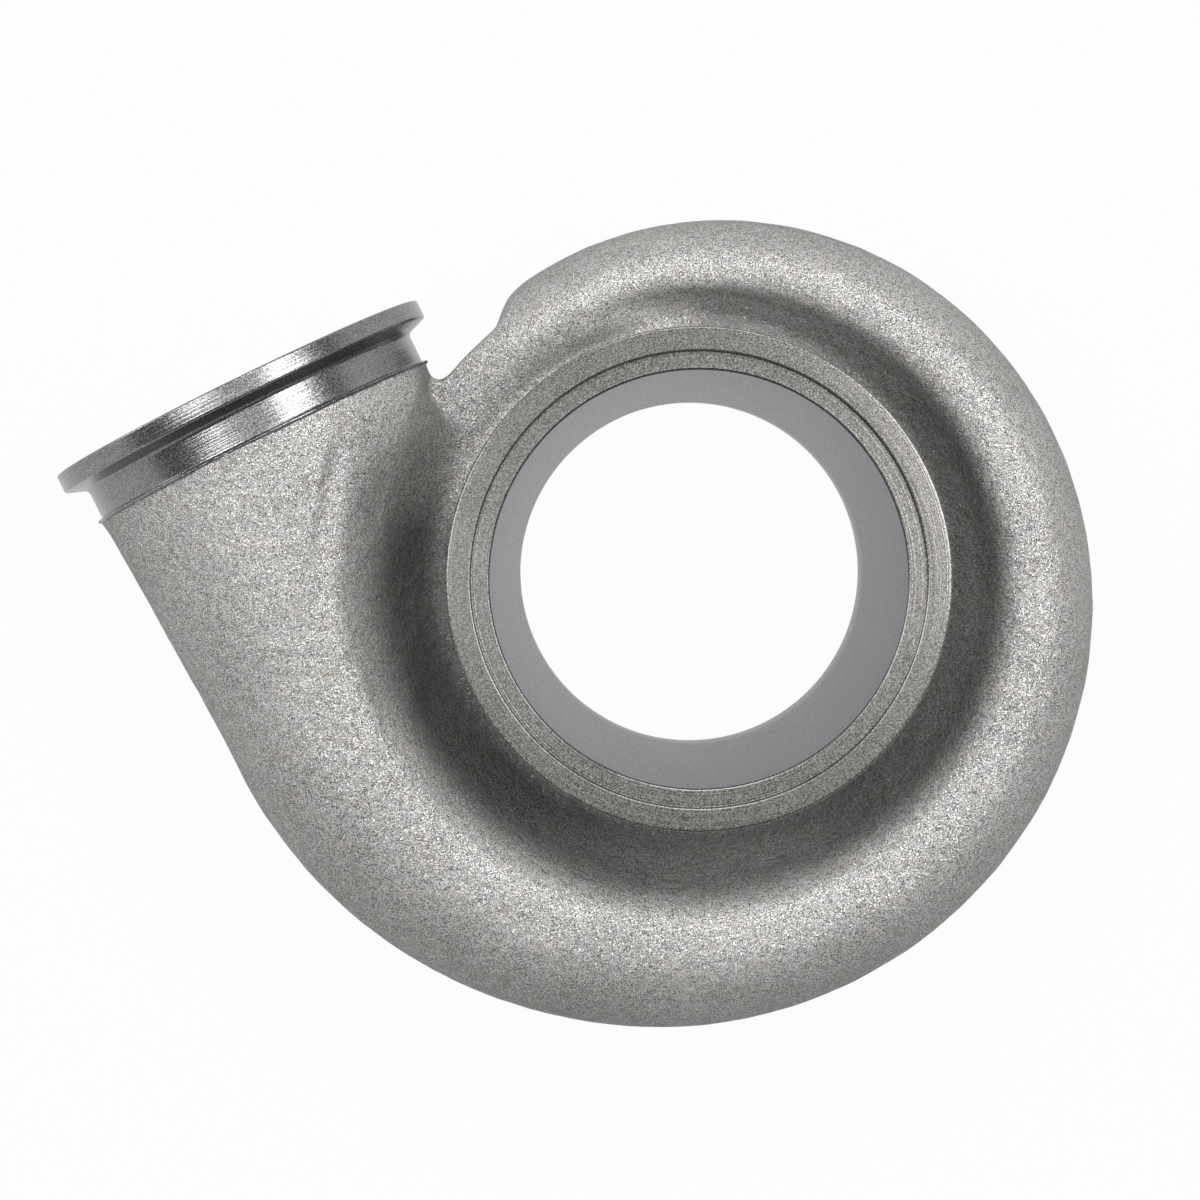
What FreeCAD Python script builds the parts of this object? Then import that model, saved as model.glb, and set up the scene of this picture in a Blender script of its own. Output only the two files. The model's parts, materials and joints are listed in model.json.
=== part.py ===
"""Cast turbine housing of a turbocharger, with a V-band flange at each end of the gas path.

Frame: millimetres, the turbine axis is Z.  Z = 0 is the machined face that bolts to the
centre housing, and the housing lies on it.  The discharge flange is at the top.  The scroll
starts at the foot plane, a half plane through the axis at foot_angle, and winds anticlockwise
as seen from above while it shrinks.  The inlet neck leaves the same plane the other way.
"""
import FreeCAD, Part
import math
import os

import Sketcher
from FreeCAD import Placement, Rotation, Vector

# Driving dimensions: name, millimetres or degrees, what it is.
SIZES = [
    ("foot_angle", 206.3, "direction of the plane where the neck turns into the scroll"),
    ("tongue_turn", 274.0, "how far the scroll turns before it sinks into the web"),
    ("tongue_sweep", 14.0, "turn over which it sinks"),
    ("face_height", 98.0, "centre housing face to discharge face"),
    ("reach_start", 119.5, "axis to the outside of the scroll at the foot plane"),
    ("crest_start", 90.0, "axis to the top of the scroll at the foot plane"),
    ("top_start", 86.0, "height of the scroll at the foot plane"),
    ("tongue_step", 5.7, "how far the end of the scroll stands outside the web"),
    ("tongue_rise", 6.5, "how far the end of the scroll stands above the hollow"),
    ("tongue_width", 12.0, "outer half of the scroll at the tongue"),
    ("underside", 11.0, "height of the underside of the scroll"),
    ("hollow_height", 51.0, "height of the hollow between boss and scroll"),
    ("hollow_fillet", 7.5, "radius where the boss meets the hollow"),
    ("web_overhang", 6.3, "web outside the centre housing flange"),
    ("web_edge", 8.0, "rounding of the rim of the web"),
    ("skirt", 7.0, "fillet of the neck against the web"),
    ("wall", 6.0, "cast wall"),
    ("bore_radius", 41.5, "bore beside the wheel tips"),
    ("bore_length", 13.0, "length of that bore"),
    ("shroud_radius", 8.5, "rounding from the slot into the bore"),
    ("slot_floor", 17.0, "height of the lower wall of the slot that feeds the wheel"),
    ("slot_width", 14.5, "width of that slot"),
    ("mouth_setback", 5.0, "mouth of the passage inside the hollow"),
    ("passage_top_tongue", 44.0, "height of the passage at the tongue"),
    ("rim_land", 4.5, "width of the outside of each V-band rim"),
    ("rim_height", 5.3, "height of each V-band flank above its groove"),
    ("rim_slope", 20.0, "slope of the flank from the plane of the flange"),
    ("edge", 0.5, "broken edges of the machined faces"),
    ("recess_depth", 1.5, "depth of the register recess in each flange face"),
    ("diffuser_radius", 48.5, "wide end of the conical outlet"),
    ("recess_ledge", 4.3, "outlet edge to the wall of the register recess"),
    ("discharge_wall", 4.7, "metal between the outlet and the groove"),
    ("discharge_groove", 14.4, "discharge face to the lower end of the groove"),
    ("boss_step", 1.3, "cast boss outside the groove"),
    ("shield_radius", 49.0, "opening round the heat shield"),
    ("pilot_radius", 56.0, "pilot bore for the centre housing"),
    ("pilot_depth", 6.0, "depth of the pilot bore"),
    ("bolt_setback", 7.5, "pilot bore to bolt circle"),
    ("flange_margin", 6.5, "bolt circle to the rim of the flange"),
    ("flange_height", 13.0, "thickness of the flange of the centre housing side"),
    ("bolt_count", 8, "tapped holes"),
    ("bolt_drill", 6.8, "tapping drill for M8"),
    ("bolt_depth", 11.0, "depth of the tapped holes"),
    ("inlet_offset", 78.9, "turbine axis to inlet axis"),
    ("inlet_height", 49.0, "height of the inlet axis"),
    ("inlet_length", 88.9, "foot plane to inlet face"),
    ("inlet_bore", 37.0, "radius of the inlet bore"),
    ("inlet_wall", 6.2, "metal between that bore and the groove"),
    ("inlet_groove", 13.8, "inlet face to the inner end of the groove"),
    ("inlet_lip", 1.3, "sharp lip left where the machining stops"),
    ("inlet_cast_gap", 3.1, "end of the groove to the end of the cast neck"),
    ("machining", 0.8, "metal cut from the cast surface by the machined bores"),
]

doc = FreeCAD.newDocument("turbine_housing")
sheet = doc.addObject("Spreadsheet::Sheet", "dim")
for row, (name, value, note) in enumerate(SIZES, start=1):
    sheet.set(f"A{row}", name)
    sheet.set(f"B{row}", str(value))
    sheet.set(f"C{row}", note)
    sheet.setAlias(f"B{row}", name)
doc.recompute()

body = doc.addObject("PartDesign::Body", "turbine_housing")
body.Label = "turbine_housing"
PLANES = {item.Role: item for item in body.Origin.OriginFeatures}

# Places that follow from the driving dimensions, as expressions on the sheet.
DISCHARGE_NECK = "(dim.diffuser_radius + dim.discharge_wall)"
DISCHARGE_RIM = f"({DISCHARGE_NECK} + dim.rim_height)"
BOSS = f"({DISCHARGE_NECK} + dim.boss_step)"
HOLLOW = f"({BOSS} + dim.hollow_fillet)"
SLOT_ROOF = "(dim.slot_floor + dim.slot_width)"
MOUTH = f"({HOLLOW} - dim.mouth_setback)"
BOLT_CIRCLE = "(dim.pilot_radius + dim.bolt_setback)"
FLANGE = f"({BOLT_CIRCLE} + dim.flange_margin)"
WEB = f"({FLANGE} + dim.web_overhang)"
REACH_TONGUE = f"({WEB} + dim.tongue_step)"
CREST_TONGUE = f"({REACH_TONGUE} - dim.tongue_width)"
TOP_TONGUE = "(dim.hollow_height + dim.tongue_rise)"
INLET_NECK = "(dim.inlet_bore + dim.inlet_wall)"
INLET_RIM = f"({INLET_NECK} + dim.rim_height)"
INLET_GROOVE_END = "(dim.inlet_length - dim.inlet_groove)"
NECK_END = f"({INLET_GROOVE_END} - dim.inlet_cast_gap)"

# The outer skin and the passage are lofted through cubic splines of 16 control points.  Three
# points stand level with each extreme, and the spline passes through the middle one.  With the
# outer two at this share of the next quarter, the quarter is nearly an ellipse.
ROUND = 0.432


def number(expression):
    """The present value of an expression on the sheet's names."""
    return float(sheet.evalExpression(expression))


def new_sketch(name, role):
    sketch = body.newObject("Sketcher::SketchObject", name)
    sketch.AttachmentSupport = (PLANES[role], "")
    sketch.MapMode = "FlatFace"
    return sketch


def bind_coordinate(sketch, geometry, vertex, kind, expression):
    """Ties one coordinate of a point of a sketch to an expression."""
    at = Sketcher.Constraint(kind, -1, 1, geometry, vertex, number(expression))
    index = sketch.addConstraint(at)
    sketch.setExpression(f"Constraints[{index}]", expression)


def bind_point(sketch, geometry, vertex, x, y):
    bind_coordinate(sketch, geometry, vertex, "DistanceX", x)
    bind_coordinate(sketch, geometry, vertex, "DistanceY", y)


def draw_outline(sketch, corners, arcs=None):
    """A closed outline through corners.  arcs maps the number of a side to its centre."""
    arcs = arcs or {}
    points = [Vector(number(x), number(y), 0) for x, y in corners]
    count = len(points)
    first, last = [1] * count, [2] * count
    for side in range(count):
        start, end = points[side], points[(side + 1) % count]
        if side in arcs:
            centre = Vector(*(number(place) for place in arcs[side]), 0)
            if (start - centre).cross(end - centre).z < 0:
                first[side], last[side] = 2, 1
            angles = [math.atan2(point.y - centre.y, point.x - centre.x) for point in (start, end)]
            circle = Part.Circle(centre, Vector(0, 0, 1), (start - centre).Length)
            ordered = angles if first[side] == 1 else angles[::-1]
            sketch.addGeometry(Part.ArcOfCircle(circle, *ordered), False)
        else:
            sketch.addGeometry(Part.LineSegment(start, end), False)
        bind_point(sketch, side, first[side], *corners[side])
    for side in range(count):
        following = (side + 1) % count
        joint = Sketcher.Constraint("Coincident", side, last[side], following, first[following])
        sketch.addConstraint(joint)
    for side, (x, _) in arcs.items():
        bind_coordinate(sketch, side, 3, "DistanceX", x)


def draw_section(sketch, poles):
    """A cubic spline on poles, closed by a straight line."""
    points = [Vector(number(x), number(y), 0) for x, y in poles]
    spline = Part.BSplineCurve()
    spline.buildFromPoles(points, False, 3)
    sketch.addGeometry(spline, False)
    sketch.addGeometry(Part.LineSegment(points[-1], points[0]), False)
    sketch.exposeInternalGeometry(0)
    for place, (x, y) in enumerate(poles):
        bind_point(sketch, 2 + place, 3, x, y)
    sketch.addConstraint(Sketcher.Constraint("Coincident", 1, 1, 0, 2))
    sketch.addConstraint(Sketcher.Constraint("Coincident", 1, 2, 0, 1))


def turn_sketch(sketch, angle):
    """Puts a sketch of the XZ plane on the half plane at an angle about the turbine axis."""
    sketch.AttachmentOffset = Placement(Vector(), Rotation(Vector(0, 1, 0), number(angle)))
    sketch.setExpression("AttachmentOffset.Rotation.Angle", angle)


def slide_sketch(sketch, distance):
    """Puts a sketch of the XZ plane beside the foot plane, that far along the neck."""
    turn_sketch(sketch, "dim.foot_angle")
    sketch.setExpression("AttachmentOffset.Base.x", f"{distance} * sin(dim.foot_angle)")
    sketch.setExpression("AttachmentOffset.Base.z", f"{distance} * cos(dim.foot_angle)")


def place_on_inlet(sketch):
    """Turns a sketch of the XY plane so that its vertical axis is the inlet axis."""
    turn = number("dim.foot_angle - 180")
    sketch.AttachmentOffset = Placement(Vector(), Rotation(Vector(0, 0, 1), turn))
    sketch.setExpression("AttachmentOffset.Rotation.Angle", "dim.foot_angle - 180")
    sketch.setExpression("AttachmentOffset.Base.x", "dim.inlet_offset * cos(dim.foot_angle)")
    sketch.setExpression("AttachmentOffset.Base.y", "dim.inlet_offset * sin(dim.foot_angle)")
    sketch.setExpression("AttachmentOffset.Base.z", "dim.inlet_height")


def loft(kind, name, sections):
    feature = body.newObject(kind, name)
    feature.Profile = sections[0]
    feature.Sections = sections[1:]
    doc.recompute()


def revolve(kind, name, sketch):
    doc.recompute()
    feature = body.newObject(kind, name)
    feature.Profile = sketch
    feature.ReferenceAxis = (sketch, ["V_Axis"])
    feature.Angle = 360
    doc.recompute()


def between(first, last, share):
    """The expression that lies that share of the way from the first to the last."""
    return f"(({first}) + (({last}) - ({first})) * {share:.5f})"


def blend(first, last, share):
    """Two lists of control points, blended by one share."""
    return [(between(a[0], b[0], share), between(a[1], b[1], share))
            for a, b in zip(first, last)]


def ease(share):
    """Rises from 0 to 1 with level ends."""
    share = min(max(share, 0.0), 1.0)
    return share * share * (3 - 2 * share)


def rounded_half(crest, reach, top, bottom):
    """Control points over the crest, down the outside and back along the bottom."""
    outer = f"(({reach}) - ({crest}))"
    middle = f"((({top}) + ({bottom})) / 2)"
    half = f"((({top}) - ({bottom})) / 2)"
    return [
        (crest, top),
        (f"({crest}) + {ROUND} * {outer}", top),
        (reach, f"{middle} + {ROUND} * {half}"),
        (reach, middle),
        (reach, f"{middle} - {ROUND} * {half}"),
        (f"({crest}) + {ROUND} * {outer}", bottom),
        (crest, bottom),
    ]


def scroll_poles(crest, reach, top, bottom):
    """Half plane section of the outer skin.  Its skirt runs down into the hollow and the boss."""
    inner = f"(({crest}) - {HOLLOW})"
    rise = f"(({top}) - dim.hollow_height)"
    skirt = [
        (f"{BOSS} - 2", "dim.hollow_height - 14"),
        (f"{BOSS} + 1", "dim.hollow_height - 9"),
        (f"{BOSS} + 4", "dim.hollow_height - 4"),
        (f"{HOLLOW} + 1", "dim.hollow_height"),
        (f"{HOLLOW} + 2 + 0.3 * {inner}", f"dim.hollow_height + 0.2 * {rise}"),
        (f"({crest}) - {ROUND} * {inner}", top),
    ]
    inside = [
        (f"({crest}) - {ROUND} * {inner}", bottom),
        (f"{BOSS} + 3", bottom),
        (f"{BOSS} - 2", f"({bottom}) + 4"),
    ]
    return skirt + rounded_half(crest, reach, top, bottom) + inside


def passage_poles(crest, reach, top, bottom):
    """Half plane section of the gas passage, open to the slot at its inner side."""
    leaning = f"(({crest}) - {MOUTH} - dim.wall)"
    rise = f"(({top}) - {SLOT_ROOF})"
    roof = [
        (MOUTH, f"{SLOT_ROOF} - 3"),
        (f"{MOUTH} + 1.5", f"{SLOT_ROOF} - 1.5"),
        (f"{MOUTH} + 3", f"{SLOT_ROOF} + 1"),
        (f"{MOUTH} + dim.wall", f"{SLOT_ROOF} + 0.2 * {rise}"),
        (f"{MOUTH} + dim.wall + 0.5 * {leaning}", f"{SLOT_ROOF} + 0.5 * {rise}"),
        (f"({crest}) - 0.3 * {leaning}", top),
    ]
    floor = [
        (f"({crest}) - {ROUND} * {leaning}", bottom),
        (f"{MOUTH} + 3", bottom),
        (MOUTH, f"({bottom}) + 3"),
    ]
    return roof + rounded_half(crest, reach, top, bottom) + floor


def neck_poles(middle, half_width, height, half_height):
    """Oval section of the neck, with as many control points as a section of the scroll."""
    left = f"({middle}) - ({half_width})"
    right = f"({middle}) + ({half_width})"
    near_left = f"({middle}) - {ROUND} * ({half_width})"
    top, bottom = f"({height}) + ({half_height})", f"({height}) - ({half_height})"
    rising = [(left, f"({height}) + {share} * ({half_height})")
              for share in (0.0, 0.05, 0.1, 0.15, ROUND)]
    closing = [(near_left, bottom)]
    closing += [(left, f"({height}) - {share} * ({half_height})") for share in (ROUND, 0.1)]
    return rising + [(near_left, top)] + rounded_half(middle, right, top, bottom) + closing


# Turns from the foot plane at which the scroll has a section, and shares of the neck.
EVEN_TURNS = (0, 5, 30, 60, 90, 120, 150, 180, 210, 240, 262)
PASSAGE_TURNS = (0, 15, 35, 60, 90, 120, 150, 180, 210, 240, 262)
TONGUE_TURNS = (-2, 3, 7, 11, 16)
NECK_SHARES = (1.0, 0.833, 0.625, 0.417, 0.278, 0.139, 0.056)
PASSAGE_SHARES = (1.19, 1.0, 0.8, 0.6, 0.4, 0.2)
SKIRT_STARTS, SKIRT_FULL, SKIRT_FADES = 0.11, 0.32, 0.78
FOOT_BLEND = 0.417


def turns(spaced):
    """Sections close together at the tongue, spaced out before it."""
    tongue = number("dim.tongue_turn")
    even = [turn for turn in spaced if turn < tongue - 8]
    return even + [tongue + turn for turn in TONGUE_TURNS]


def scroll_sizes(turn):
    """Crest, reach, top and bottom of the outer skin after a turn from the foot plane."""
    share = min(turn / number("dim.tongue_turn"), 1.0)
    dive = ease((turn - number("dim.tongue_turn")) / number("dim.tongue_sweep"))
    crest = between("dim.crest_start", CREST_TONGUE, share ** 1.6)
    reach = between("dim.reach_start", REACH_TONGUE, share)
    top = between("dim.top_start", TOP_TONGUE, share)
    return (between(crest, f"{CREST_TONGUE} - 3", dive),
            between(reach, f"{WEB} - 3", dive),
            between(top, "dim.hollow_height - 3", dive),
            between("dim.underside", "dim.flange_height + 5", dive))


def passage_sizes(turn):
    """The same for the gas passage inside it."""
    share = min(turn / number("dim.tongue_turn"), 1.0)
    crest, reach, _, _ = scroll_sizes(turn)
    top = between("dim.top_start - dim.wall", "dim.passage_top_tongue", share)
    return f"{crest} + 0.3 * dim.wall", f"{reach} - dim.wall", top, "dim.slot_floor - 1"


def along_neck(share):
    """How much of its change the neck has made after a share of its length."""
    return 2 * share ** 2 - share ** 3


def foot_oval(wall):
    """The oval that the neck would have at the foot plane, inside a wall."""
    inner = f"({BOSS} + 1)"
    bottom = "dim.underside" if wall == "0" else "(dim.slot_floor - 1)"
    return neck_poles(f"(dim.reach_start + {inner}) / 2",
                      f"(dim.reach_start - {inner}) / 2 - {wall}",
                      f"(dim.top_start - {wall} + {bottom}) / 2",
                      f"(dim.top_start - {wall} - {bottom}) / 2")


def scroll_section(turn):
    sketch = new_sketch("scroll_section", "XZ_Plane")
    turn_sketch(sketch, f"dim.foot_angle + {turn}")
    draw_section(sketch, scroll_poles(*scroll_sizes(turn)))
    return sketch


def passage_section(turn):
    sketch = new_sketch("passage_section", "XZ_Plane")
    turn_sketch(sketch, f"dim.foot_angle + {turn}")
    draw_section(sketch, passage_poles(*passage_sizes(turn)))
    return sketch


def neck_section(share):
    """Outside of the neck: the scroll at the foot plane, a circle at the flange."""
    cast = f"{INLET_NECK} - 0.2"
    end = neck_poles("dim.inlet_offset", cast, "dim.inlet_height", cast)
    oval = blend(foot_oval("0"), end, along_neck(share))
    poles = blend(scroll_poles(*scroll_sizes(0)), oval, ease(share / FOOT_BLEND))
    skirt = ease((share - SKIRT_STARTS) / (SKIRT_FULL - SKIRT_STARTS))
    skirt *= ease((1 - share) / (1 - SKIRT_FADES))
    for place, (spread, level) in enumerate([(0.0, -14), (0.6, -9), (1.0, -4), (0.5, 1)]):
        x, y = poles[place]
        poles[place] = (f"{x} - {spread * skirt:.4f} * dim.skirt",
                        between(y, f"dim.hollow_height + {level}", skirt))
    sketch = new_sketch("neck_section", "XZ_Plane")
    slide_sketch(sketch, f"{NECK_END} * {share}")
    draw_section(sketch, poles)
    return sketch


def neck_passage_section(share):
    """Inside of the neck: the passage of the scroll at the foot plane, the bore at the flange."""
    cast = "dim.inlet_bore - dim.machining"
    end = neck_poles("dim.inlet_offset", cast, "dim.inlet_height", cast)
    oval = blend(foot_oval("dim.wall"), end, along_neck(min(share, 1.0)))
    sketch = new_sketch("neck_passage_section", "XZ_Plane")
    slide_sketch(sketch, f"{NECK_END} * {share}")
    draw_section(sketch, blend(passage_poles(*passage_sizes(0)), oval, ease(share / 0.33)))
    return sketch


def flank(neck, rim, face):
    """Corners of a V-band flange from its groove to its face, turned about the second axis."""
    foot = f"({face} - dim.rim_land)"
    low = f"({foot} - dim.rim_height * tan(dim.rim_slope))"
    return [
        (neck, f"{low} - 2 * dim.edge"),
        (f"{neck} + 2 * dim.edge", f"{low} + 2 * dim.edge * tan(dim.rim_slope)"),
        (f"{rim} - dim.edge", f"{foot} - dim.edge * tan(dim.rim_slope)"),
        (rim, f"{foot} + dim.edge"),
        (rim, f"{face} - dim.edge"),
        (f"{rim} - dim.edge", face),
        ("0", face),
    ]


# Outer skin of neck and scroll, as one loft.
skin = [neck_section(share) for share in NECK_SHARES]
skin += [scroll_section(turn) for turn in turns(EVEN_TURNS)]
loft("PartDesign::AdditiveLoft", "neck_and_scroll", skin)

# Flange of the centre housing side, web, boss and discharge flange, solid for now.
groove_end = "(dim.face_height - dim.discharge_groove)"
hub_outline = [
    ("0", "0"),
    (f"{FLANGE} - dim.edge", "0"),
    (FLANGE, "dim.edge"),
    (FLANGE, "dim.flange_height"),
    (WEB, "dim.flange_height + dim.web_overhang"),
    (WEB, "dim.hollow_height - dim.web_edge"),
    (f"{WEB} - dim.web_edge", "dim.hollow_height"),
    (HOLLOW, "dim.hollow_height"),
    (BOSS, "dim.hollow_height + dim.hollow_fillet"),
    (BOSS, f"{groove_end} - dim.edge"),
    (f"{BOSS} - dim.edge", groove_end),
    (DISCHARGE_NECK, groove_end),
] + flank(DISCHARGE_NECK, DISCHARGE_RIM, "dim.face_height")
hub = new_sketch("hub_outline", "XZ_Plane")
draw_outline(hub, hub_outline, arcs={
    3: (FLANGE, "dim.flange_height + dim.web_overhang"),
    5: (f"{WEB} - dim.web_edge", "dim.hollow_height - dim.web_edge"),
    7: (HOLLOW, "dim.hollow_height + dim.hollow_fillet"),
})
revolve("PartDesign::Revolution", "web_boss_and_flanges", hub)

# Inlet flange, turned about the inlet axis.
band = new_sketch("inlet_flange_outline", "XY_Plane")
place_on_inlet(band)
draw_outline(band, [
    ("0", f"{NECK_END} - 6"),
    (f"{INLET_NECK} - 2.5", f"{NECK_END} - 6"),
    (f"{INLET_NECK} - 1.2", f"{NECK_END} - 2"),
    (f"{INLET_NECK} + dim.inlet_lip", f"{INLET_GROOVE_END} - 0.7"),
    (f"{INLET_NECK} + dim.inlet_lip", f"{INLET_GROOVE_END} - 0.4"),
    (INLET_NECK, INLET_GROOVE_END),
] + flank(INLET_NECK, INLET_RIM, "dim.inlet_length"))
revolve("PartDesign::Revolution", "inlet_flange", band)

# Gas passage, from the inlet face to the tongue.
passage = [neck_passage_section(share) for share in PASSAGE_SHARES]
passage += [passage_section(turn) for turn in turns(PASSAGE_TURNS)]
loft("PartDesign::SubtractiveLoft", "gas_passage", passage)

# Outlet cone, bore, slot, opening for the heat shield and pilot bore.
recess_floor = "(dim.face_height - dim.recess_depth)"
recess_wall = "(dim.diffuser_radius + dim.recess_ledge)"
bore_bottom = f"({SLOT_ROOF} + dim.shroud_radius)"
bore = new_sketch("bore_outline", "XZ_Plane")
draw_outline(bore, [
    ("0", "-1"),
    ("dim.pilot_radius + dim.edge + 1", "-1"),
    ("dim.pilot_radius", "dim.edge"),
    ("dim.pilot_radius", "dim.pilot_depth"),
    ("dim.shield_radius", "dim.pilot_depth"),
    ("dim.shield_radius", "dim.slot_floor"),
    (f"{MOUTH} + 3", "dim.slot_floor"),
    (f"{MOUTH} + 3", SLOT_ROOF),
    ("dim.bore_radius + dim.shroud_radius", SLOT_ROOF),
    ("dim.bore_radius", bore_bottom),
    ("dim.bore_radius", f"{bore_bottom} + dim.bore_length"),
    ("dim.diffuser_radius", f"{recess_floor} - dim.edge"),
    ("dim.diffuser_radius + dim.edge", recess_floor),
    (recess_wall, recess_floor),
    (recess_wall, "dim.face_height - dim.edge"),
    (f"{recess_wall} + dim.edge + 1", "dim.face_height + 1"),
    ("0", "dim.face_height + 1"),
], arcs={8: ("dim.bore_radius + dim.shroud_radius", bore_bottom)})
revolve("PartDesign::Groove", "bore_and_slot", bore)

# Machined mouth of the inlet, with its register recess.
mouth_floor = "(dim.inlet_length - dim.recess_depth)"
mouth_wall = "(dim.inlet_bore + dim.inlet_wall - 0.2)"
mouth = new_sketch("inlet_bore_outline", "XY_Plane")
place_on_inlet(mouth)
draw_outline(mouth, [
    ("0", "dim.inlet_length - 8"),
    ("dim.inlet_bore", "dim.inlet_length - 8"),
    ("dim.inlet_bore", f"{mouth_floor} - dim.edge"),
    ("dim.inlet_bore + dim.edge", mouth_floor),
    (mouth_wall, mouth_floor),
    (mouth_wall, "dim.inlet_length - dim.edge"),
    (f"{mouth_wall} + dim.edge + 1", "dim.inlet_length + 1"),
    ("0", "dim.inlet_length + 1"),
])
revolve("PartDesign::Groove", "inlet_bore", mouth)

# Tapped holes in the centre housing face.
spot = new_sketch("bolt_spot", "XY_Plane")
spot.addGeometry(Part.Circle(Vector(number(BOLT_CIRCLE), 0, 0), Vector(0, 0, 1),
                             number("dim.bolt_drill / 2")), False)
bind_point(spot, 0, 3, BOLT_CIRCLE, "0")
across = spot.addConstraint(Sketcher.Constraint("Diameter", 0, number("dim.bolt_drill")))
spot.setExpression(f"Constraints[{across}]", "dim.bolt_drill")
doc.recompute()
hole = body.newObject("PartDesign::Hole", "bolt_hole")
hole.Profile = spot
hole.DepthType = "Dimension"
hole.DrillPoint = "Angled"
hole.Reversed = True
hole.setExpression("Diameter", "dim.bolt_drill")
hole.setExpression("Depth", "dim.bolt_depth")
doc.recompute()
holes = body.newObject("PartDesign::PolarPattern", "bolt_holes")
holes.Originals = [hole]
holes.Axis = (PLANES["Z_Axis"], [""])
holes.Angle = 360
holes.setExpression("Occurrences", "dim.bolt_count")
body.Tip = holes
doc.recompute()

for item in doc.Objects:
    if {"Invalid", "Error"} & set(item.State):
        raise RuntimeError(f"{item.Label} did not build: {item.State}")
shape = body.Shape
if shape.isNull() or not shape.isValid() or len(shape.Solids) != 1:
    raise RuntimeError("the housing is not one valid solid")
os.makedirs("parts", exist_ok=True)
shape.exportStep(f"parts/{body.Label}.step")
print(f"{body.Label}: {len(shape.Faces)} faces, {shape.Volume / 1000:.1f} cubic centimetres")
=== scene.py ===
"""Looks of a cast turbine housing with a turned V-band flange at either end of its gas path."""
import json
import math

import bmesh
import bpy
from mathutils import Matrix, Vector, noise


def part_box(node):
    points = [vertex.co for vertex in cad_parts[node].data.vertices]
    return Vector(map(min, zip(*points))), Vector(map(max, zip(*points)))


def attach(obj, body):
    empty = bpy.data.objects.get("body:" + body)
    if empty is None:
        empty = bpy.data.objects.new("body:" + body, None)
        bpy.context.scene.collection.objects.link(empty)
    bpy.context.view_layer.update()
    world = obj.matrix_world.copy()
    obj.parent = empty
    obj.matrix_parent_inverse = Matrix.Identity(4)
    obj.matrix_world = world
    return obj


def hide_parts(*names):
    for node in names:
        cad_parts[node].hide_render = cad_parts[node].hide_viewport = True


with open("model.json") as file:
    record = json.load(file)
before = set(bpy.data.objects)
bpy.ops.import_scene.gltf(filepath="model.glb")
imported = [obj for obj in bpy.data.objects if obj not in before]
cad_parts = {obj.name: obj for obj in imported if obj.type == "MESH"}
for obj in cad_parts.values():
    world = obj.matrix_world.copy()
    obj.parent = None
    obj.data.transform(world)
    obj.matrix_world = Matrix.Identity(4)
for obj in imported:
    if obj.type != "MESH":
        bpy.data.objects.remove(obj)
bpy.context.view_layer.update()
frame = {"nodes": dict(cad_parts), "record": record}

# The turned discharge end: V-band flange, register recess, conical outlet, wheel bore and the
# round lip over the slot.  It is grey iron cut from the casting in one setting, so it is one
# turned shape about the turbine axis, with its edges broken and fine tool marks round it.
MM = 0.001
MOUNTS = {mount["name"]: mount for mount in frame["record"]["mounts"]}
RIM_LAND = 4.5
RIM_HEIGHT = 5.3
RIM_FALL = RIM_HEIGHT * math.tan(math.radians(20))
RECESS = 1.5
OUTLET_LENGTH = 45.0
BROKEN = 0.5
TOOL_NOSE = 0.2
GROOVE_ROUND = 1.0
TURN_STEPS = 256
GRANULAR = (0.165, 0.16, 0.151, 1)
BLUED = (0.098, 0.102, 0.115, 1)


def measure(mount, name):
    """A stated size of a mount, in millimetres."""
    return MOUNTS[mount]["dims"][name]


def turned(name, outline, steps, base=Matrix.Identity(4)):
    """Turns a closed outline about the Z axis of a base.  Its corners are (radius, height, width
    of the broken edge), in millimetres."""
    shape = bmesh.new()
    corners = [shape.verts.new((radius * MM, 0, height * MM)) for radius, height, _ in outline]
    for corner, following in zip(corners, corners[1:] + corners[:1]):
        shape.edges.new((corner, following))
    for corner, (_, _, width) in zip(corners, outline):
        if width:
            bmesh.ops.bevel(shape, geom=[corner], offset=width * MM, segments=3, profile=0.5,
                            affect="VERTICES", material=-1)
    bmesh.ops.spin(shape, geom=shape.verts[:] + shape.edges[:], cent=(0, 0, 0), axis=(0, 0, 1),
                   angle=math.tau, steps=steps, use_merge=True)
    bmesh.ops.remove_doubles(shape, verts=shape.verts[:], dist=1e-7)
    bmesh.ops.recalc_face_normals(shape, faces=shape.faces[:])
    shape.transform(base)
    mesh = bpy.data.meshes.new(name)
    shape.to_mesh(mesh)
    shape.free()
    mesh.shade_smooth()
    piece = bpy.data.objects.new(name, mesh)
    bpy.context.scene.collection.objects.link(piece)
    return piece


def arc(centre, radius, start, end, count):
    """Corners along an arc of an outline, from one angle to another, in degrees."""
    turns = [math.radians(start + (end - start) * step / count) for step in range(count + 1)]
    return [(centre[0] + radius * math.cos(turn), centre[1] + radius * math.sin(turn), 0)
            for turn in turns]


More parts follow.
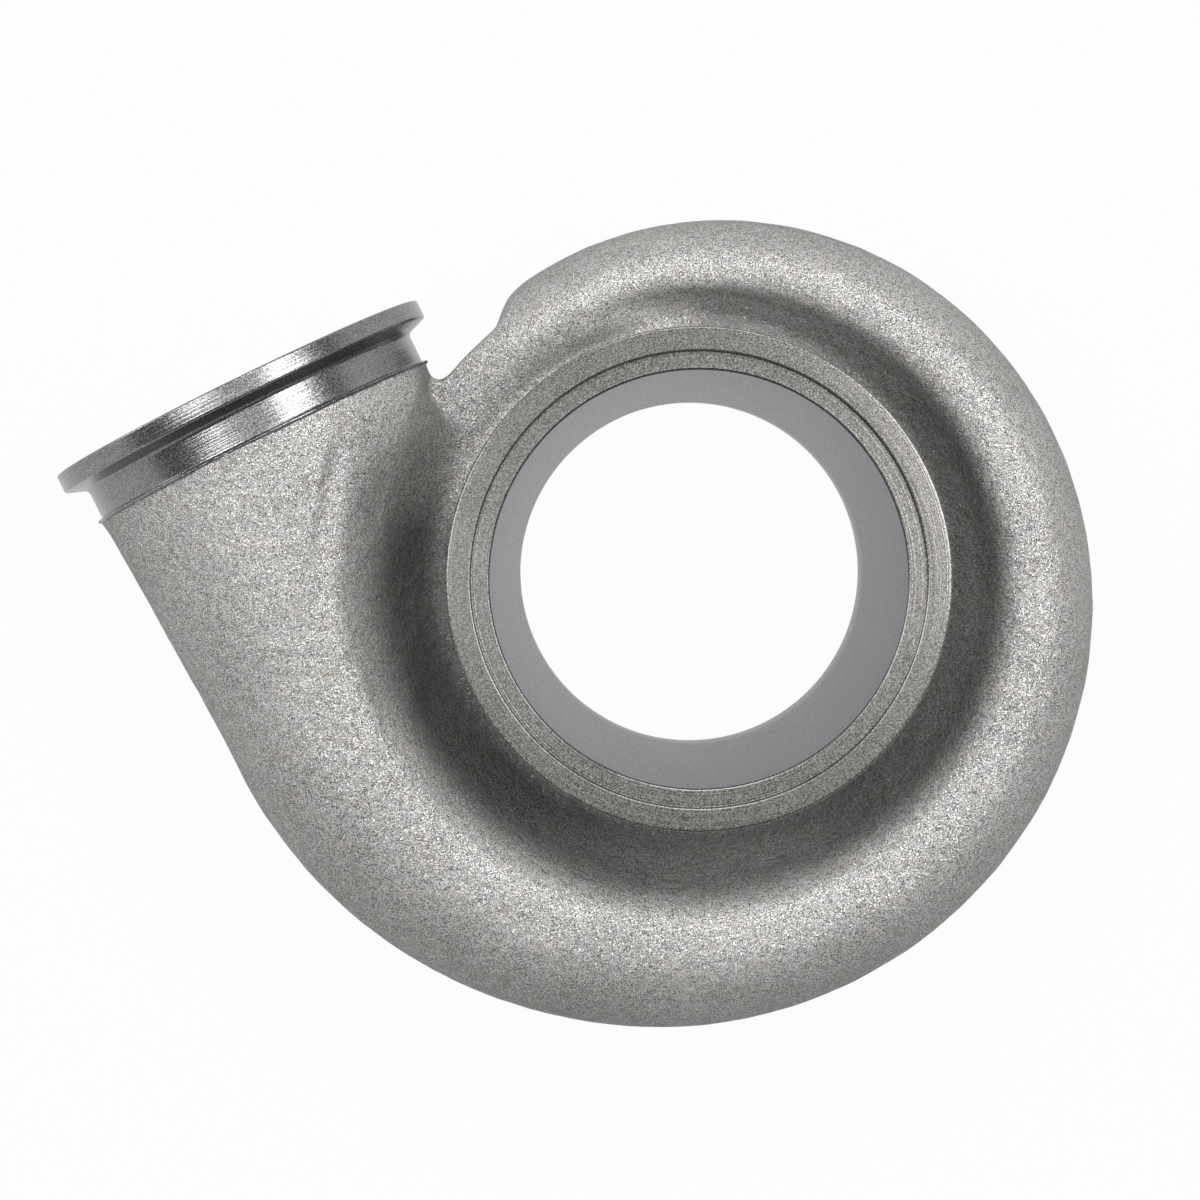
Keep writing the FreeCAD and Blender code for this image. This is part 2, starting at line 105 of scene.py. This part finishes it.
class Wire:
    """One socket of a node tree.  Sums, products and differences of wires add Math nodes."""

    def __init__(self, socket):
        self.socket = socket

    def node(self, kind, settings, sockets, output=0):
        """Adds a node: first its settings, then the numbers, colours or wires for its sockets."""
        tree = self.socket.id_data
        made = tree.nodes.new(kind)
        for name, value in settings.items():
            if name == "stops":
                for index, (place, shade) in enumerate(value):
                    stop = (made.color_ramp.elements[index] if index < 2
                            else made.color_ramp.elements.new(place))
                    stop.position = place
                    stop.color = (shade, shade, shade, 1)
            else:
                setattr(made, name, value)
        for name, value in sockets.items():
            if isinstance(value, Wire):
                tree.links.new(value.socket, made.inputs[name])
            else:
                made.inputs[name].default_value = value
        return Wire(made.outputs[output])

    def math(self, operation, first, second=0.0):
        return self.node("ShaderNodeMath", {"operation": operation}, {0: first, 1: second})

    def __add__(self, other):
        return self.math("ADD", self, other)

    __radd__ = __add__

    def __mul__(self, other):
        return self.math("MULTIPLY", self, other)

    __rmul__ = __mul__

    def __sub__(self, other):
        return self.math("SUBTRACT", self, other)

    def __rsub__(self, other):
        return self.math("SUBTRACT", other, self)

    def __truediv__(self, other):
        return self.math("DIVIDE", self, other)

    def __rtruediv__(self, other):
        return self.math("DIVIDE", other, self)

    def vector(self, operation, other=(0, 0, 0), scale=1.0):
        """A vector worked out from this one, or a number for a length or a dot product."""
        output = 1 if operation in {"LENGTH", "DOT_PRODUCT", "DISTANCE"} else 0
        return self.node("ShaderNodeVectorMath", {"operation": operation},
                         {0: self, 1: other, 3: scale}, output)

    def band(self, low, high, start=0.0, end=1.0):
        """Rises smoothly from start to end between two values, and stays level outside them."""
        return self.node("ShaderNodeMapRange", {"interpolation_type": "SMOOTHSTEP"},
                         {"Value": self, "From Min": low, "From Max": high,
                          "To Min": start, "To Max": end})

    def speckle(self, grain, detail=2.0, roughness=0.5):
        """Noise on places in metres, with grains of a width in millimetres."""
        return self.node("ShaderNodeTexNoise", {},
                         {"Vector": self, "Scale": 1 / (grain * MM), "Detail": detail,
                          "Roughness": roughness})

    def spot(self, centre, radius):
        """A small ragged spot round a point, both in millimetres: one inside, nothing outside."""
        away = self.vector("DISTANCE", tuple(part * MM for part in centre))
        ragged = away + (self.speckle(1.2) - 0.5) * (1.6 * radius * MM)
        return ragged.band(0.7 * radius * MM, 1.15 * radius * MM, 1.0, 0.0)

    def shade(self, dark, light):
        """A colour between two colours or wires, by this number."""
        return self.node("ShaderNodeMix", {"data_type": "RGBA"}, {0: self, 6: dark, 7: light}, 2)

    def feed(self, surface, socket):
        self.socket.id_data.links.new(self.socket, surface.inputs[socket])


# A pit in the discharge face, shown only as a dark spot in the turned finish: painted shade.
RING_PIT = (-3.3, -55.1, 98.0)


def new_finish(name, roughness, metallic):
    """A material with its surface shader, the place on the object and the surface's normal."""
    material = bpy.data.materials.new(name)
    material.use_nodes = True
    tree = material.node_tree
    surface = tree.nodes["Principled BSDF"]
    surface.inputs["Roughness"].default_value = roughness
    surface.inputs["Metallic"].default_value = metallic
    place = Wire(tree.nodes.new("ShaderNodeTexCoord").outputs["Object"])
    normal = Wire(tree.nodes.new("ShaderNodeNewGeometry").outputs["Normal"])
    return material, surface, place, normal


def turned_finish(name, axis, centre, metal, bore_metal, bore_radius, tilt):
    """Turned iron: grains of graphite and the tool's rings, which spread a highlight across
    the rings.  Inside bore_radius the cut is finer and bluer."""
    material, surface, place, normal = new_finish(name, 0.34, 0.9)
    offset = place.vector("SUBTRACT", centre)
    along = offset.vector("DOT_PRODUCT", axis)
    round_axis = offset.vector("CROSS_PRODUCT", axis)
    radius = round_axis.vector("LENGTH")
    across = normal.vector("CROSS_PRODUCT", round_axis.vector("NORMALIZE"))
    profile = (radius + along * 0.83) * 1000
    ring = place.node("ShaderNodeTexNoise", {"noise_dimensions": "1D"},
                      {"W": profile, "Scale": 5.0, "Detail": 4.0, "Roughness": 0.7})
    wide_ring = place.node("ShaderNodeTexNoise", {"noise_dimensions": "1D"},
                           {"W": profile, "Scale": 0.6, "Detail": 1.0})
    inside = radius.band((bore_radius - 0.3) * MM, (bore_radius + 0.3) * MM, 1.0, 0.0)
    grains = place.speckle(0.32, 1.0, 0.6)
    cloud = place.speckle(14.0, 3.0)
    grit = place.node("ShaderNodeTexNoise", {}, {"Vector": place, "Scale": 1 / (0.5 * MM),
                                                "Detail": 1.0}, 1)
    grit = grit.vector("SUBTRACT", (0.5, 0.5, 0.5))
    lean = (ring - 0.5) * (tilt * (1.0 - 0.55 * inside))
    leaning = across.vector("SCALE", scale=lean)
    leaning = leaning.vector("ADD", grit.vector("SCALE", scale=0.16 - 0.12 * inside))
    normal.vector("ADD", leaning).vector("NORMALIZE").feed(surface, "Normal")
    tone = 0.5 + (grains - 0.5) * (4.2 - 3.9 * inside) + (cloud - 0.5) * 0.5
    # The pit in the ring face is darkened in colour only, with no dent: painted shade.
    tone = (tone + (wide_ring - 0.5) * 0.35) * (1.0 - place.spot(RING_PIT, 0.8))
    granular = tone.shade(tuple(0.62 * part for part in metal[:3]) + (1,),
                          tuple(1.42 * part for part in metal[:3]) + (1,))
    blued = tone.shade(tuple(0.82 * part for part in bore_metal[:3]) + (1,),
                       tuple(1.18 * part for part in bore_metal[:3]) + (1,))
    inside.shade(granular, blued).feed(surface, "Base Color")
    (0.27 + 0.04 * inside + (grains - 0.5) * 0.3).feed(surface, "Roughness")
    return material


def finish_piece(piece, material):
    """Gives a piece its material and its body."""
    piece.data.materials.clear()
    piece.data.materials.append(material)
    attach(piece, "root")


wheel_bore = measure("wheel_bore", "r_mm")
rim = measure("discharge_rim", "r_mm")
register = measure("discharge_register", "r_mm")
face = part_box("turbine_housing")[1].z / MM
bore_high = face - OUTLET_LENGTH
bore_low = bore_high - measure("wheel_bore", "length_mm")
outlet = register - 4.3
neck = rim - RIM_HEIGHT
groove_end = face - 14.4
boss = neck + 1.3
lip_centre = (wheel_bore + 8.5, bore_low)
discharge_outline = arc(lip_centre, 8.5, 270, 180, 12)
discharge_outline += [
    (wheel_bore, bore_high, 0),
    (outlet, face - RECESS, BROKEN),
    (register, face - RECESS, TOOL_NOSE),
    (register, face, BROKEN),
    (rim, face, BROKEN),
    (rim, face - RIM_LAND, BROKEN),
    (neck, face - RIM_LAND - RIM_FALL, GROOVE_ROUND),
    (neck, groove_end, TOOL_NOSE),
    (boss, groove_end, BROKEN),
    (boss, groove_end - 1.3, 0),
    (boss - 2.5, groove_end - 2.1, 0),
    (wheel_bore + 3.0, bore_high, 0),
]
discharge_outline += arc(lip_centre, 6.0, 180, 270, 4)
discharge = turned("discharge_end", discharge_outline, TURN_STEPS)
finish_piece(discharge, turned_finish("turned_discharge", (0, 0, 1), (0, 0, 0), GRANULAR, BLUED,
                                      outlet + 0.2, 0.9))

# The turned inlet flange, cut about the inlet axis in a second setting.  The tool stops short of
# the cast neck and leaves a thin raised lip there, torn here and there.
inlet_axis = Vector(MOUNTS["inlet_rim"]["axis"])
inlet_face = Vector(MOUNTS["inlet_bore"]["pos_m"])
inlet_face += inlet_axis * inlet_axis.dot(Vector(MOUNTS["inlet_face"]["pos_m"]) - inlet_face)
inlet_turn = Vector((0, 0, 1)).rotation_difference(inlet_axis).to_matrix().to_4x4()
inlet_base = Matrix.Translation(inlet_face) @ inlet_turn
inlet_bore = measure("inlet_bore", "r_mm")
inlet_register = measure("inlet_register", "r_mm")
inlet_rim = measure("inlet_rim", "r_mm") - 0.1
inlet_neck = inlet_rim - RIM_HEIGHT
INLET_GROOVE = 13.8
INLET_LIP = 1.3
inlet_outline = [
    (inlet_bore, -8.0, 0),
    (inlet_bore, -RECESS, BROKEN),
    (inlet_register, -RECESS, TOOL_NOSE),
    (inlet_register, 0, BROKEN),
    (inlet_rim, 0, BROKEN),
    (inlet_rim, -RIM_LAND, BROKEN),
    (inlet_neck, -RIM_LAND - RIM_FALL, GROOVE_ROUND),
    (inlet_neck, -INLET_GROOVE, TOOL_NOSE),
    (inlet_neck + INLET_LIP, -INLET_GROOVE - 0.4, 0.1),
    (inlet_neck + INLET_LIP, -INLET_GROOVE - 0.9, 0),
    (inlet_neck - 1.5, -INLET_GROOVE - 2.0, 0),
    (inlet_bore + 1.6, -INLET_GROOVE - 2.0, 0),
    (inlet_bore + 1.6, -9.5, 0),
]
inlet = turned("inlet_flange", inlet_outline, TURN_STEPS, inlet_base)
TORN = 0.7
for vertex in inlet.data.vertices:
    local = inlet_base.inverted() @ vertex.co
    reach = math.hypot(local.x, local.y) / MM
    if reach > inlet_neck + 0.6 * INLET_LIP and local.z < -(INLET_GROOVE + 0.1) * MM:
        torn = TORN * max(0.0, noise.noise(local * 160) + 0.6 * noise.noise(local * 700) + 0.25)
        local.x *= 1 - torn / reach
        local.y *= 1 - torn / reach
        vertex.co = inlet_base @ local
finish_piece(inlet, turned_finish("turned_inlet", tuple(inlet_axis), tuple(inlet_face),
                                  (0.21, 0.21, 0.21, 1), BLUED, inlet_bore + 0.5, 0.8))

# The turned flange of the centre housing side, with its pilot bore, the opening round the heat
# shield and eight drilled and tapped M8 holes.  It lies on the floor.
pilot = measure("pilot_bore", "r_mm")
shield = measure("shield_opening", "r_mm")
bolt_circle = measure("bolt_circle", "pcd_mm") / 2
drill = measure("bolt_circle", "hole_r_mm")
flange = bolt_circle + 6.5
housing_outline = [
    (shield, 17.0, 0),
    (shield, 6.0, BROKEN),
    (pilot, 6.0, TOOL_NOSE),
    (pilot, 0, BROKEN),
    (flange, 0, BROKEN),
    (flange, 10.9, 0),
    (flange - 2.0, 12.0, 0),
    (shield + 3.0, 12.0, 0),
    (shield + 2.0, 17.0, 0),
]
housing_side = turned("housing_flange", housing_outline, TURN_STEPS)
THREAD_RADIUS = 4.05
PITCH = 1.25
THREAD_TURNS = 7
THREAD_STEPS = 20


def cut_away(piece, name, outline, steps, base=Matrix.Identity(4)):
    """Takes a turned shape out of a piece."""
    cutter = turned(name, [(radius, height, 0) for radius, height in outline], steps, base)
    cut = piece.modifiers.new(name, "BOOLEAN")
    cut.operation = "DIFFERENCE"
    cut.solver = "EXACT"
    cut.object = cutter
    return cutter


def settle(piece, cutters):
    """Applies the modifiers of a piece and takes the cutters away."""
    view = bpy.context.evaluated_depsgraph_get()
    mesh = bpy.data.meshes.new_from_object(piece.evaluated_get(view), depsgraph=view)
    piece.modifiers.clear()
    piece.data = mesh
    for cutter in cutters:
        bpy.data.objects.remove(cutter)


drills = []
threads = bmesh.new()
for index in range(measure("bolt_circle", "count")):
    turn = Matrix.Rotation(math.tau * index / measure("bolt_circle", "count"), 4, "Z")
    place = turn @ Matrix.Translation((bolt_circle * MM, 0, 0))
    drills.append(cut_away(housing_side, "drill", [
        (0, -1), (THREAD_RADIUS + 1.6, -1), (THREAD_RADIUS, 0.6), (THREAD_RADIUS, 9.8),
        (drill, 10.2), (drill, 12.5), (0, 12.5)], 32, place))
    ridge = [threads.verts.new((radius * MM, 0, height * MM))
             for radius, height in ((THREAD_RADIUS + 0.1, 0.5), (drill, 0.95), (drill, 1.05),
                                    (THREAD_RADIUS + 0.1, 1.5))]
    start = threads.faces.new(ridge)
    spun = bmesh.ops.spin(threads, geom=[start], cent=(0, 0, 0), axis=(0, 0, 1),
                          dvec=(0, 0, PITCH * MM / THREAD_STEPS), angle=math.tau * THREAD_TURNS,
                          steps=THREAD_STEPS * THREAD_TURNS, use_duplicate=False)
    fresh = [vertex for vertex in threads.verts if not vertex.tag]
    bmesh.ops.transform(threads, matrix=place, verts=fresh)
    for vertex in fresh:
        vertex.tag = True
bmesh.ops.recalc_face_normals(threads, faces=threads.faces[:])
thread_mesh = bpy.data.meshes.new("threads")
threads.to_mesh(thread_mesh)
threads.free()
thread_piece = bpy.data.objects.new("bolt_threads", thread_mesh)
bpy.context.scene.collection.objects.link(thread_piece)
settle(housing_side, drills)
housing_finish = turned_finish("turned_housing_side", (0, 0, 1), (0, 0, 0), GRANULAR, BLUED,
                               pilot + 0.2, 0.5)
finish_piece(housing_side, housing_finish)
finish_piece(thread_piece, housing_finish)

for piece in (discharge, inlet, housing_side):
    weighted = piece.modifiers.new("flat faces", "WEIGHTED_NORMAL")
    weighted.keep_sharp = True

# The casting: scroll, neck, web and boss in one sand-cast skin of grey iron, shot-blasted.  Its
# turned ends are cut away here, because the turned pieces above stand for them.
SKIN_STEP = 1.6
SKIN_WAVE = 7.0
SKIN_DEPTH = 0.3
solid = bmesh.new()
solid.from_mesh(frame["nodes"]["turbine_housing"].data)
bmesh.ops.remove_doubles(solid, verts=solid.verts[:], dist=1e-6)
cast_mesh = bpy.data.meshes.new("casting")
solid.to_mesh(cast_mesh)
solid.free()
casting = bpy.data.objects.new("casting", cast_mesh)
bpy.context.scene.collection.objects.link(casting)
remesh = casting.modifiers.new("skin", "REMESH")
remesh.mode = "VOXEL"
remesh.voxel_size = SKIN_STEP * MM
remesh.use_smooth_shade = True
soften = casting.modifiers.new("fillets", "SMOOTH")
soften.factor = 0.5
soften.iterations = 8
settle(casting, [])

# The solid ends its scroll bluntly and runs its neck up against the boss.  The real casting sinks
# in one long slope and has a hollow all round the boss, so the copy's top is moved there.
WEB_TOP = 51.0
FILLET = 7.5
VALLEY_START, VALLEY_WIDTH, VALLEY_RISE = 62.0, 24.0, 36.0
VALLEY_SHIFT = 4
STILL = 40.0
BOSS_SIDE, FLANGE_SHADE, RESHAPED = 55.2, 60, 90
UNDER_FLANGE, OVER_ALL = 82.0, 120.0
TAIL_CREST, TAIL_INNER, TAIL_OUTER = 70.0, 13.0, 7.5
TAIL_BLEND = 1.2
TAIL_HEIGHTS = ((92, 8.8), (110, 7.6), (122, 6.2), (128, 5.0), (134, 3.2), (142, 1.0), (150, 0.0))


def smooth_step(value, low, high):
    """Rises smoothly from nothing to one between two values, which may fall."""
    share = min(max((value - low) / (high - low), 0.0), 1.0)
    return share * share * (3 - 2 * share)


def valley(radius, bearing):
    """Height of the hollow between the discharge boss and the neck, with the boss's fillet."""
    if radius < VALLEY_START:
        return WEB_TOP + FILLET - math.sqrt(FILLET ** 2 - min(VALLEY_START - radius, FILLET) ** 2)
    start = VALLEY_START + VALLEY_SHIFT * smooth_step(bearing, 156, 146)
    return WEB_TOP + VALLEY_RISE * smooth_step(radius, start, start + VALLEY_WIDTH)


def tail(radius, bearing):
    """Height of the end of the scroll, which sinks into the web in one long slope."""
    lift = TAIL_HEIGHTS[-1][1]
    for (low, first), (high, last) in zip(TAIL_HEIGHTS, TAIL_HEIGHTS[1:]):
        if low <= bearing <= high:
            lift = first + (last - first) * smooth_step(bearing, low, high)
    width = TAIL_INNER if radius < TAIL_CREST else TAIL_OUTER
    return WEB_TOP + lift * (1 - ((radius - TAIL_CREST) / width) ** 2)


def cast_height(radius, bearing, top):
    """The height of the real casting where the solid stands at another one."""
    low = smooth_step(bearing, 136, 148) * smooth_step(bearing, 210, 200)
    top += low * (min(top, valley(radius, bearing)) - top)
    fill = smooth_step(bearing, 92, 114) * smooth_step(bearing, 152, 148)
    fill *= smooth_step(radius, 59, 62)
    over = (tail(radius, bearing) - top) / TAIL_BLEND
    return top + fill * TAIL_BLEND * math.log1p(math.exp(min(over, 20.0)))


bpy.context.view_layer.update()
moves = []
for vertex in casting.data.vertices:
    x, y, z = vertex.co / MM
    radius, bearing = math.hypot(x, y), math.degrees(math.atan2(y, x)) % 360
    if z > STILL and BOSS_SIDE < radius < RESHAPED and 90 < bearing < 212:
        over = UNDER_FLANGE if radius < FLANGE_SHADE else OVER_ALL
        hit, struck, _, _ = casting.ray_cast((vertex.co.x, vertex.co.y, over * MM), (0, 0, -1))
        if hit and struck.z > (STILL + 2) * MM and z < struck.z / MM + 1:
            top = struck.z / MM
            share = (cast_height(radius, bearing, top) - STILL) / (top - STILL)
            moves.append((vertex, (STILL + (z - STILL) * share) * MM))
for vertex, height in moves:
    vertex.co.z = height
evened = bmesh.new()
evened.from_mesh(casting.data)
evened.verts.ensure_lookup_table()
moved = [evened.verts[vertex.index] for vertex, _ in moves]
for _ in range(4):
    bmesh.ops.smooth_vert(evened, verts=moved, factor=0.5, use_axis_x=True, use_axis_y=True,
                          use_axis_z=True)
evened.to_mesh(casting.data)
evened.free()

# The skin gets the waves of the sand mould, all inwards, and its turned zones are cut out.
waves = bpy.data.textures.new("skin_waves", "CLOUDS")
waves.noise_scale = SKIN_WAVE * MM
waves.noise_depth = 2
uneven = casting.modifiers.new("uneven", "DISPLACE")
uneven.texture = waves
uneven.mid_level = 1.0
uneven.strength = SKIN_DEPTH * MM
settle(casting, [])
cutters = [
    cut_away(casting, "outlet_stock", [
        (0, 30), (lip_centre[0], lip_centre[1] - 7.3), (wheel_bore + 1.2, bore_low),
        (wheel_bore + 1.2, bore_high), (outlet - 0.6, groove_end - 0.1), (rim + 2, groove_end - 0.1),
        (rim + 2, face + 2), (0, face + 2)], 96),
    cut_away(casting, "housing_stock", [
        (0, -1), (flange + 1, -1), (flange + 1, 10.4), (shield + 1.2, 10.4), (shield + 1.2, 18.5),
        (0, 18.5)], 96),
    cut_away(casting, "inlet_stock", [
        (0, -8.2), (inlet_neck - 1.7, -8.2), (inlet_neck - 1.7, -INLET_GROOVE - 0.6),
        (inlet_rim + 2, -INLET_GROOVE - 0.6), (inlet_rim + 2, 2), (0, 2)], 96, inlet_base),
]
settle(casting, cutters)
casting.data.shade_smooth()
casting.data.set_sharp_from_angle(angle=math.radians(50))
print("casting faces", len(casting.data.polygons))

PARTING = 48.5
SKIN_PIT = (59.4, -55.2, 60.0)
VALLEY_INNER = 64.0
SLOPE, NECK_SLOPE = 16.0, 18.0
TAIL = math.radians(128)
FOOT = math.radians(206.3)
cast_skin, surface, place, normal = new_finish("cast_skin", 0.5, 0.4)
surface.inputs["Specular IOR Level"].default_value = 0.25

# Grit leans the normal, pebbles and ripples of the mould raise it, and a thin line stands where
# the mould's halves met.
grit = place.node("ShaderNodeTexNoise", {}, {"Vector": place, "Scale": 1 / (0.4 * MM),
                                             "Detail": 1.0, "Roughness": 0.6}, 1)
grit = grit.vector("SUBTRACT", (0.5, 0.5, 0.5))
sandy = normal.vector("ADD", grit.vector("SCALE", scale=1.5)).vector("NORMALIZE")
pebbles = place.speckle(1.5, 2.0, 0.55)
ripples = place.speckle(4.5, 2.0, 0.5)
beside_line = place.vector("DOT_PRODUCT", (0, 0, 1)) - PARTING * MM
from_axis = place.vector("MULTIPLY", (1, 1, 0)).vector("LENGTH")
flash = beside_line.math("ABSOLUTE", beside_line).band(0.25 * MM, 0.8 * MM, 1.0, 0.0)
flash = flash * from_axis.band(84 * MM, 88 * MM)
pit = place.spot(SKIN_PIT, 1.3)
height = pebbles * 0.5 + ripples + flash * 0.5 - pit * 1.5
bumped = place.node("ShaderNodeBump", {}, {"Strength": 1.0, "Distance": 0.55 * MM,
                                           "Height": height, "Normal": sandy})
bumped.feed(surface, "Normal")

# The grains differ in tone.  The hollow round the boss is darkened in colour, painted shade, and
# so are the steep sides and the small pit, painted shade as well.
sand = place.speckle(0.3, 1.0, 0.6)
cloud = place.speckle(30.0, 3.0)
tint = place.speckle(5.0, 3.0)
tone = 0.45 + (sand - 0.5) * 2.8 + (cloud - 0.5) * 0.3 + (pebbles - 0.5) * 0.5
toward_tail = place.vector("MULTIPLY", (1, 1, 0)).vector("NORMALIZE")
toward_tail = toward_tail.vector("DOT_PRODUCT", (math.cos(TAIL), math.sin(TAIL), 0))
ahead = place.vector("DOT_PRODUCT", (-math.cos(FOOT), -math.sin(FOOT), 0))
aside = place.vector("DOT_PRODUCT", (math.sin(FOOT), -math.cos(FOOT), 0))
wound = (aside.math("ARCTAN2", aside, ahead) + math.pi) / math.tau
slope_width = (SLOPE - SLOPE * wound + NECK_SLOPE * wound.band(0.86, 0.93)) * MM
# Painted shade: the hollow round the boss, towards the tail of the scroll, is darkened in colour.
hollow = ((from_axis - VALLEY_INNER * MM) / slope_width).band(0.0, 1.0, 1.0, 0.0)
hollow = hollow * toward_tail.band(0.70, 0.93, 1.0, 0.0)
# Painted shade: the steep sides are darkened in colour.
steep_shade = normal.vector("DOT_PRODUCT", (0, 0, 1)).band(0.05, 0.6, 1.0, 0.0)
# The tone takes the painted shade of the hollow, the steep sides and the pit; the pit also has a
# dent in the bump.
tone = tone * (1.0 - 0.75 * hollow) * (1.0 - 0.35 * steep_shade) * (1.0 - 0.8 * pit)
grey = tone.shade((0.075, 0.075, 0.074, 1), (0.68, 0.675, 0.66, 1))
warm = tone.shade((0.08, 0.077, 0.07, 1), (0.70, 0.67, 0.62, 1))
tinted = tint.band(0.45, 0.7).shade(grey, warm)
glint = sand.band(0.6, 0.72)
tinted.feed(surface, "Base Color")
(0.52 - 0.22 * glint + (tint - 0.5) * 0.15).feed(surface, "Roughness")
(0.18 + 0.7 * glint).feed(surface, "Metallic")
finish_piece(casting, cast_skin)
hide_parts("turbine_housing")

# The stage: a pale floor under the housing, with a wall all round it.  Straight looks and
# reflections see it white, and it keeps the housing's shadow.
stage_shape = bmesh.new()
bmesh.ops.create_circle(stage_shape, cap_ends=True, segments=96, radius=3.2)
walls = bmesh.ops.extrude_edge_only(stage_shape, edges=[edge for edge in stage_shape.edges
                                                        if edge.is_boundary])
raised = [item for item in walls["geom"] if isinstance(item, bmesh.types.BMVert)]
bmesh.ops.translate(stage_shape, vec=(0, 0, 1.3), verts=raised)
stage_mesh = bpy.data.meshes.new("floor")
stage_shape.to_mesh(stage_mesh)
stage_shape.free()
floor = bpy.data.objects.new("floor", stage_mesh)
bpy.context.scene.collection.objects.link(floor)
paint, surface, place, normal = new_finish("floor_paint", 0.9, 0.0)
surface.inputs["Base Color"].default_value = (0.2, 0.2, 0.2, 1)
tree = paint.node_tree
path = tree.nodes.new("ShaderNodeLightPath")
seen = Wire(path.outputs["Is Camera Ray"]) + Wire(path.outputs["Is Glossy Ray"])
seen = seen + Wire(path.outputs["Is Transmission Ray"])
lit = seen.node("ShaderNodeEmission", {}, {"Color": (1, 1, 1, 1), "Strength": 1.0})
shown = seen.node("ShaderNodeMixShader", {}, {0: seen.math("MINIMUM", seen, 1.0) * 0.97,
                                              1: Wire(surface.outputs[0]), 2: lit})
tree.links.new(shown.socket, tree.nodes["Material Output"].inputs["Surface"])
stage_mesh.materials.append(paint)

# The studio: a dim grey sky, softboxes behind, at both sides and low on the left, and a long
# narrow one overhead, whose reflection widens to the bright wedges on the turned ring.
world = bpy.data.worlds.new("studio")
bpy.context.scene.world = world
world.use_nodes = True
world.node_tree.nodes["Background"].inputs["Color"].default_value = (1, 1, 1, 1)
world.node_tree.nodes["Background"].inputs["Strength"].default_value = 0.02


def softbox(name, place, size, energy):
    lamp = bpy.data.lights.new(name, "AREA")
    lamp.shape = "RECTANGLE"
    lamp.size, lamp.size_y = size
    lamp.energy = energy
    holder = bpy.data.objects.new(name, lamp)
    bpy.context.scene.collection.objects.link(holder)
    holder.location = place
    holder.rotation_mode = "QUATERNION"
    holder.rotation_quaternion = Vector(place).to_track_quat("Z", "Y")


softbox("behind", (0.0, 0.75, 1.07), (0.7, 0.5), 8.5)
softbox("low_left", (-1.23, 0.22, 0.34), (0.5, 0.3), 2.5)
softbox("left", (-0.66, 0.2, 1.1), (0.5, 0.5), 6.8)
softbox("right", (0.6, 0.2, 1.15), (0.5, 0.5), 9.5)
softbox("overhead", (0.0, -0.03, 1.3), (2.2, 0.2), 3.8)

# The camera stands where the photo was taken, almost straight above the discharge flange.
FOCAL_PIXELS = 3772.97
PICTURE_WIDTH = 1200
eye = Vector((-0.037977, 0.030230, 0.966960))
back = Vector((-0.017284, 0.040062, 0.999048)).normalized()
right = (Vector((1, 0, 0)) - back * back.x).normalized()
up = back.cross(right)
camera_data = bpy.data.cameras.new("camera")
camera_data.sensor_width = 36
camera_data.lens = FOCAL_PIXELS * camera_data.sensor_width / PICTURE_WIDTH
camera_data.clip_start, camera_data.clip_end = 0.05, 20
camera = bpy.data.objects.new("camera", camera_data)
bpy.context.scene.collection.objects.link(camera)
camera.matrix_world = Matrix.Translation(eye) @ Matrix((right, up, back)).transposed().to_4x4()
bpy.context.scene.camera = camera
bpy.context.scene.view_settings.view_transform = "Standard"
